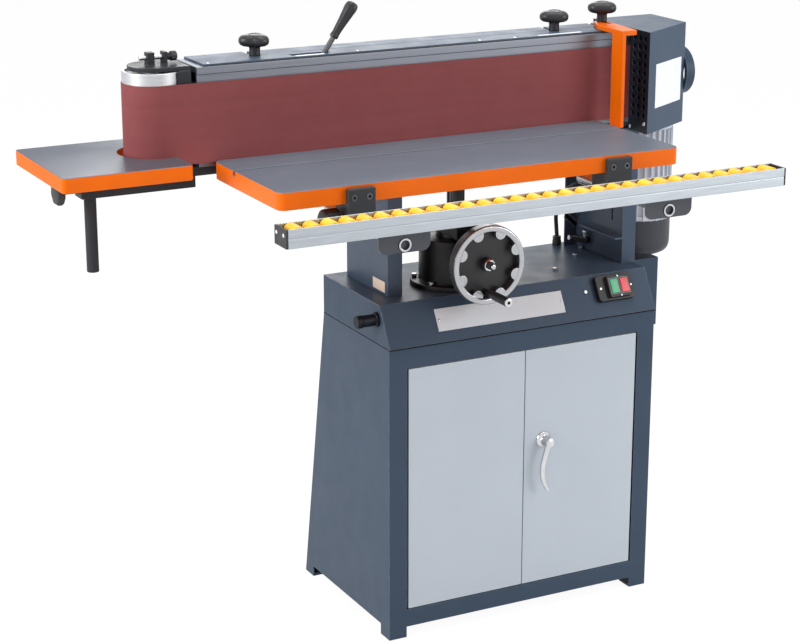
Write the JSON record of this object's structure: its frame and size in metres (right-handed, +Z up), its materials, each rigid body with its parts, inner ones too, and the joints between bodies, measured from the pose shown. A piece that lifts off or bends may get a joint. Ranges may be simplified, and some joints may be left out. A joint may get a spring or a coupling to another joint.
{
  "type": "edge sander",
  "caption": "Standing edge sander: cabinet with doors, long vertical sanding belt on two drums, rising table with roller rail, end table round the idler drum and dust hood over the motor end.",
  "frame": {"origin": "on the floor, in the middle of the four floor bolt holes", "axes": "+X along the belt from the idler drum to the motor, +Y from the operator towards the back, +Z up"},
  "size_m": [1.408, 0.8445, 1.2858],
  "materials": {
    "slate_paint": "semi-gloss enamel",
    "door_paint": "satin enamel",
    "orange_paint": "gloss enamel",
    "ground_iron": "ground top, painted edges",
    "grey_iron": "painted casting",
    "black_plastic": "moulded",
    "black_paint": "satin black",
    "steel": "turned",
    "chrome": "polished",
    "abrasive": "coated abrasive cloth",
    "rail_metal": "anodised",
    "roller_yellow": "moulded",
    "cable_black": "matt",
    "start_green": "moulded",
    "stop_red": "moulded"
  },
  "bodies": {
    "stand": {"cabinet": "slate_paint", "hood": "slate_paint", "control_box": "slate_paint", "switch_box": "black_plastic", "side_peg": "black_plastic", "left_post": "slate_paint", "right_post": "slate_paint", "beam": "ground_iron", "platen": "steel", "beam_cover": "slate_paint", "sanding_belt": "abrasive", "dust_hood": "slate_paint", "dust_port": "slate_paint", "motor_plate": "slate_paint", "motor_body": "grey_iron", "motor_fan_cover": "black_plastic", "motor_cable": "cable_black", "cable_gland": "black_plastic", "lift_housing": "black_paint", "end_arm": "black_paint", "door_hinge_pins": "steel", "hood_bolts": "steel"},
    "table": {"main_table": "ground_iron", "table_support": "grey_iron", "lift_ram": "steel", "left_rail_bracket": "black_paint", "right_rail_bracket": "black_paint", "bracket_screws": "steel"},
    "rail": {"rail_profile": "rail_metal", "rail_rollers": "roller_yellow", "rail_end_caps": "black_plastic", "rail_tubes": "steel", "rail_carriers": "black_paint"},
    "rail_lock": {"rail_lock_knob": "black_plastic"},
    "handwheel": {"handwheel_rim": "chrome", "handwheel_web": "black_plastic", "wheel_shaft": "steel"},
    "wheel_grip": {"wheel_handle": "chrome"},
    "screw": {"lift_screw": "steel"},
    "end_table": {"end_table_top": "ground_iron", "end_table_post": "black_paint"},
    "end_clamp": {"end_clamp_knob": "black_plastic"},
    "drive": {"drive_drum": "steel", "motor_shaft": "steel"},
    "carriage": {"idler_carriage": "black_paint", "idler_axle": "steel"},
    "idler": {"idler_drum": "steel"},
    "tension": {"tension_lever": "chrome", "lever_grip": "black_plastic"},
    "tracking": {"tracking_screw": "steel"},
    "left_knob": {"left_cover_knob": "black_plastic"},
    "right_knob": {"right_cover_knob": "black_plastic"},
    "stop_clamp": {"stop_knob": "black_plastic"},
    "stop_arm": {"work_stop": "orange_paint"},
    "door_left": {"left_door": "door_paint"},
    "door_right": {"right_door": "door_paint"},
    "latch": {"door_handle": "chrome"},
    "start": {"start_button": "start_green"},
    "stop": {"stop_button": "stop_red"}
  },
  "joints": [
    {"name": "table_lift", "type": "slide", "parent": "stand", "child": "table", "axis": [0, 0, 1], "range_m": [-0.005, 0.085]},
    {"name": "wheel_turn", "type": "hinge", "parent": "stand", "child": "handwheel", "pos_m": [-0.104, -0.2225, 0.774], "axis": [0, -1, 0], "range_deg": [-185, 3065]},
    {"name": "screw_turn", "type": "hinge", "parent": "stand", "child": "screw", "pos_m": [-0.104, -0.074, 0.9], "axis": [0, 0, 1], "range_deg": [-185, 3065]},
    {"name": "grip_spin", "type": "hinge", "parent": "handwheel", "child": "wheel_grip", "pos_m": [-0.104, -0.25, 0.717], "axis": [0, 1, 0], "continuous": true},
    {"name": "rail_slide", "type": "slide", "parent": "table", "child": "rail", "axis": [0, 1, 0], "range_m": [-0.06, 0.15]},
    {"name": "rail_lock_turn", "type": "hinge", "parent": "table", "child": "rail_lock", "pos_m": [-0.525, -0.394, 0.945], "axis": [1, 0, 0], "range_deg": [0, 720]},
    {"name": "end_table_lift", "type": "slide", "parent": "stand", "child": "end_table", "axis": [0, 0, 1], "range_m": [-0.012, 0.12]},
    {"name": "end_clamp_turn", "type": "hinge", "parent": "stand", "child": "end_clamp", "pos_m": [-0.91, -0.06, 0.9715], "axis": [1, 0, 0], "range_deg": [0, 720]},
    {"name": "drive_spin", "type": "hinge", "parent": "stand", "child": "drive", "pos_m": [0.36, -0.06, 1.09], "axis": [0, 0, 1], "continuous": true},
    {"name": "belt_release", "type": "slide", "parent": "stand", "child": "carriage", "axis": [1, 0, 0], "range_m": [0, 0.004]},
    {"name": "idler_spin", "type": "hinge", "parent": "carriage", "child": "idler", "pos_m": [-0.726, -0.06, 1.09], "axis": [0, 0, 1], "continuous": true},
    {"name": "lever_throw", "type": "hinge", "parent": "stand", "child": "tension", "pos_m": [-0.419, -0.088, 1.15], "axis": [0, -1, 0], "range_deg": [-0.5, 70.5]},
    {"name": "tracking_turn", "type": "hinge", "parent": "carriage", "child": "tracking", "pos_m": [-0.72, -0.06, 1.206], "axis": [1, 0, 0], "range_deg": [-360, 360]},
    {"name": "left_knob_turn", "type": "hinge", "parent": "stand", "child": "left_knob", "pos_m": [-0.52, -0.06, 1.21], "axis": [0, 0, 1], "range_deg": [0, 720]},
    {"name": "right_knob_turn", "type": "hinge", "parent": "stand", "child": "right_knob", "pos_m": [0.138, -0.06, 1.21], "axis": [0, 0, 1], "range_deg": [0, 720]},
    {"name": "stop_knob_turn", "type": "hinge", "parent": "stand", "child": "stop_clamp", "pos_m": [0.252, -0.06, 1.22], "axis": [0, 0, 1], "range_deg": [0, 720]},
    {"name": "stop_slide", "type": "slide", "parent": "stand", "child": "stop_arm", "axis": [0, 1, 0], "range_m": [0, 0.03]},
    {"name": "left_door_swing", "type": "hinge", "parent": "stand", "child": "door_left", "pos_m": [-0.259, -0.1955, 0.32], "axis": [0, 0, -1], "range_deg": [0, 110]},
    {"name": "right_door_swing", "type": "hinge", "parent": "stand", "child": "door_right", "pos_m": [0.259, -0.1955, 0.32], "axis": [0, 0, 1], "range_deg": [0, 110]},
    {"name": "latch_turn", "type": "hinge", "parent": "door_right", "child": "latch", "pos_m": [0.046, -0.2025, 0.377], "axis": [0, 1, 0], "range_deg": [0, 90]},
    {"name": "start_press", "type": "slide", "parent": "stand", "child": "start", "axis": [0, 0.8696, -0.4938], "range_m": [0, 0.004], "stiffness_N_per_m": 500, "springref_m": -0.001},
    {"name": "stop_press", "type": "slide", "parent": "stand", "child": "stop", "axis": [0, 0.8696, -0.4938], "range_m": [0, 0.004], "stiffness_N_per_m": 500, "springref_m": -0.001}
  ],
  "couplings": [
    {"joint": "wheel_turn", "follows": "table_lift", "rad_per_m": 628.32},
    {"joint": "screw_turn", "follows": "table_lift", "rad_per_m": 628.32},
    {"joint": "idler_spin", "follows": "drive_spin", "ratio": 1},
    {"joint": "lever_throw", "follows": "belt_release", "rad_per_m": 305.43}
  ]
}
